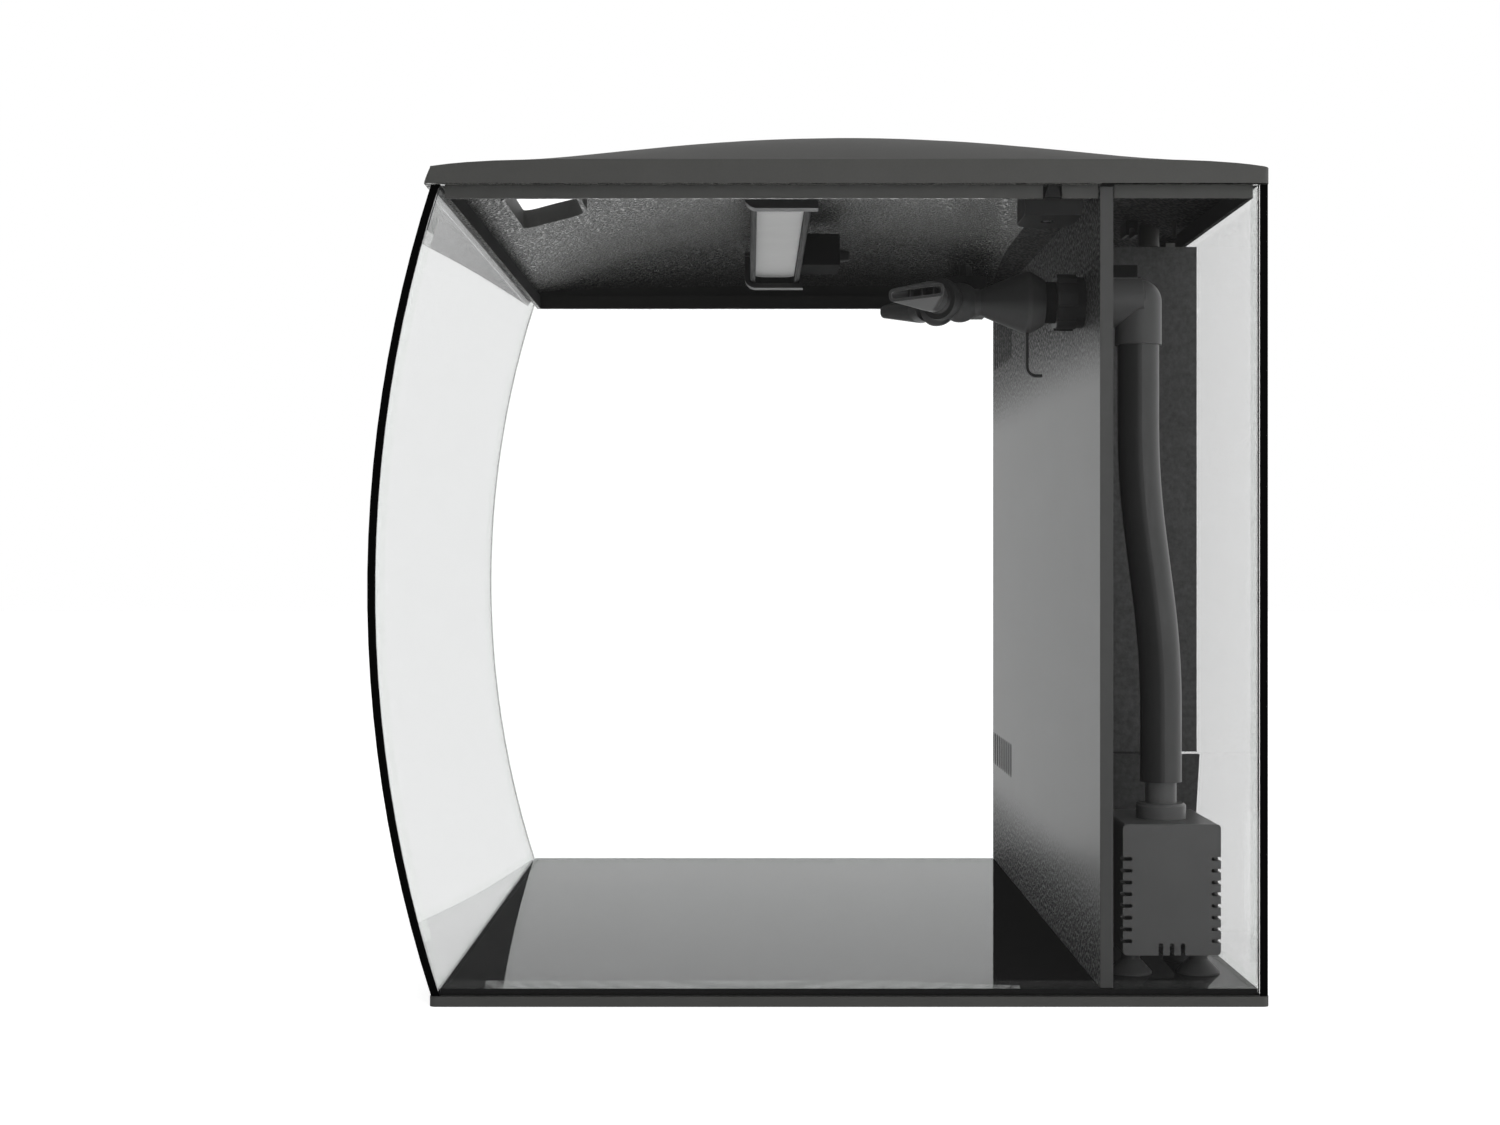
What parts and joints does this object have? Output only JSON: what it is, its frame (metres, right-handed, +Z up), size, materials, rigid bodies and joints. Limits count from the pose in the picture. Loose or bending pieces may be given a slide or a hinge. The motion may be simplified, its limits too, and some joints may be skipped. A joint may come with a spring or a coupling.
{
  "type": "aquarium",
  "caption": "Bow-front glass aquarium with a domed lid, a lamp under it, and a walled filter compartment with pump, hose and turning twin outlet.",
  "frame": {"origin": "centre of the bounding box in plan, at the underside of the base tray, which stands on its surface", "axes": "+X to the right seen from the front, +Y towards the rear, +Z up; the bowed front pane faces -Y"},
  "size_m": [0.41, 0.3899, 0.39],
  "materials": {
    "clear_glass": "polished clear float glass",
    "black_glass": "polished, black on its underside",
    "clear_silicone": "translucent silicone bead",
    "trim_plastic": "fine grain, warm dark grey",
    "wall_plastic": "coarse spark-eroded grain, dark grey",
    "black_plastic": "fine grain, black",
    "pump_plastic": "satin, dark grey",
    "filter_foam": "open-cell foam, dark",
    "carbon_mesh": "mesh bag over black granules",
    "ring_mesh": "white mesh bag over ceramic rings",
    "black_rubber": "soft, matt",
    "ferrite": "dull sintered magnet",
    "impeller_plastic": "moulded, pale grey",
    "ceramic": "ground ceramic rod",
    "hose_pvc": "flexible vinyl hose, dark grey",
    "steel": "stainless screws",
    "diffuser": "milky strip",
    "board": "white solder mask",
    "led": "yellow phosphor in a white case"
  },
  "bodies": {
    "tank": {"base_tray": "trim_plastic", "bottom_glass": "black_glass", "front_glass": "clear_glass", "rear_glass": "clear_glass", "left_glass": "clear_glass", "right_glass": "clear_glass", "corner_beads": "clear_silicone", "floor_beads": "clear_silicone", "compartment_wall": "wall_plastic", "intake_baffle": "black_plastic", "media_baffle": "black_plastic", "mid_baffle": "wall_plastic", "leaning_baffle": "wall_plastic", "foam_block": "filter_foam", "ring_bag": "ring_mesh", "carbon_bag": "carbon_mesh", "pump_body": "pump_plastic", "chamber_plate": "pump_plastic", "impeller_shaft": "ceramic", "shaft_bushes": "black_rubber", "pump_cover": "pump_plastic", "pump_outlet": "pump_plastic", "suction_cups": "black_rubber", "pump_gland": "black_rubber", "hose": "hose_pvc", "elbow": "pump_plastic", "wall_connector": "pump_plastic", "gasket": "black_rubber", "outlet_ring": "black_rubber", "lock_nut": "black_plastic"},
    "lid": {"lid_shell": "trim_plastic", "left_lid_catch": "black_plastic", "right_lid_catch": "black_plastic", "catch_screws": "steel", "cable_clip": "black_plastic", "lamp_housing": "black_plastic", "lamp_diffuser": "diffuser", "lamp_board": "board", "lamp_leds": "led", "left_lamp_bracket": "black_plastic", "right_lamp_bracket": "black_plastic", "bracket_screws": "steel", "junction_box": "black_plastic", "junction_cover": "black_plastic", "lamp_gland": "black_rubber"},
    "outlet": {"outlet_cone": "black_plastic", "fork": "black_plastic"},
    "left_ball": {"left_nozzle_ball": "black_plastic"},
    "right_ball": {"right_nozzle_ball": "black_plastic"},
    "left_nozzle": {"left_flat_nozzle": "black_plastic"},
    "right_nozzle": {"right_flat_nozzle": "black_plastic"},
    "rotor": {"impeller": "impeller_plastic", "rotor_magnet": "ferrite"}
  },
  "joints": [
    {"name": "lid_lift", "type": "slide", "parent": "tank", "child": "lid", "axis": [0, 0, 1], "range_m": [0, 0.12]},
    {"name": "outlet_turn", "type": "hinge", "parent": "tank", "child": "outlet", "pos_m": [0.151, 0.09, 0.3105], "axis": [0, 1, 0], "range_deg": [-90, 90]},
    {"name": "left_ball_swing", "type": "hinge", "parent": "outlet", "child": "left_ball", "pos_m": [0.13951, 0.05686, 0.3105], "axis": [0, 0, 1], "range_deg": [-20, 20]},
    {"name": "left_nozzle_twist", "type": "hinge", "parent": "left_ball", "child": "left_nozzle", "pos_m": [0.13951, 0.05686, 0.3105], "axis": [-0.8829, -0.4695, 0], "range_deg": [-90, 90]},
    {"name": "right_ball_swing", "type": "hinge", "parent": "outlet", "child": "right_ball", "pos_m": [0.16249, 0.05686, 0.3105], "axis": [0, 0, 1], "range_deg": [-20, 20]},
    {"name": "right_nozzle_twist", "type": "hinge", "parent": "right_ball", "child": "right_nozzle", "pos_m": [0.16249, 0.05686, 0.3105], "axis": [0.8829, -0.4695, 0], "range_deg": [-90, 90]},
    {"name": "rotor_spin", "type": "hinge", "parent": "tank", "child": "rotor", "pos_m": [0.14, 0.1575, 0.044], "axis": [1, 0, 0], "continuous": true}
  ]
}
